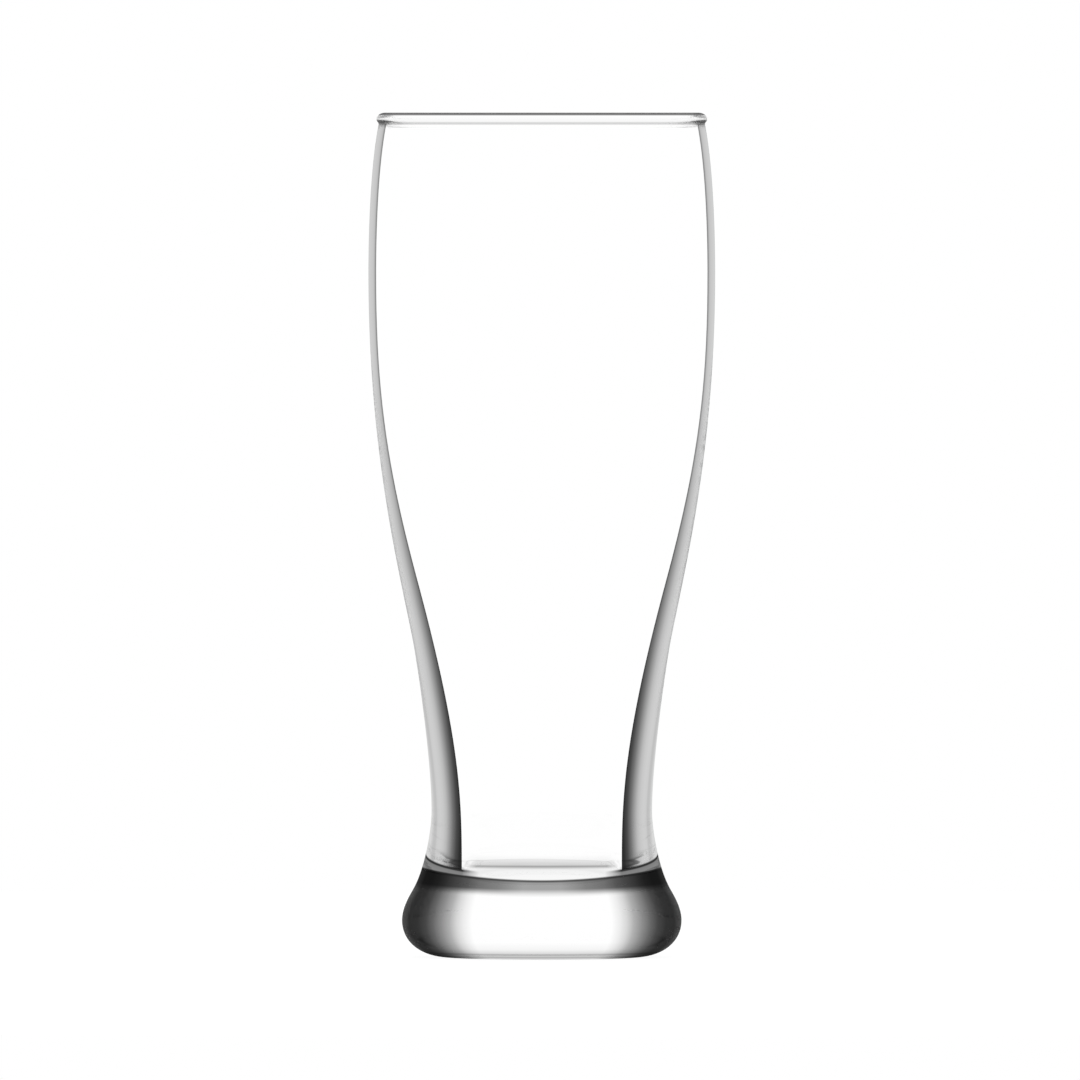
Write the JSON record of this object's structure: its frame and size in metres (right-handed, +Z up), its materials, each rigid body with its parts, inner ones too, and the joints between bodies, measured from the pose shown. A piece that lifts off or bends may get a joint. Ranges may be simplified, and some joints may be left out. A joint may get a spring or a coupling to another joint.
{
  "type": "beer glass",
  "caption": "Tall clear beer glass with a rounded rim, a high belly, a narrow waist and a heavy flared foot, for holding and drinking beer.",
  "frame": {"origin": "middle of the foot, on the table that the glass stands on", "axes": "+Z up along the axis of the glass, towards the rim; the glass is the same all round that axis"},
  "size_m": [0.078, 0.078, 0.19],
  "materials": {
    "clear_glass": "clear fire-polished soda-lime glass, smooth and glossy all over"
  },
  "bodies": {
    "root": {"glass_body": "clear_glass"}
  },
  "joints": []
}
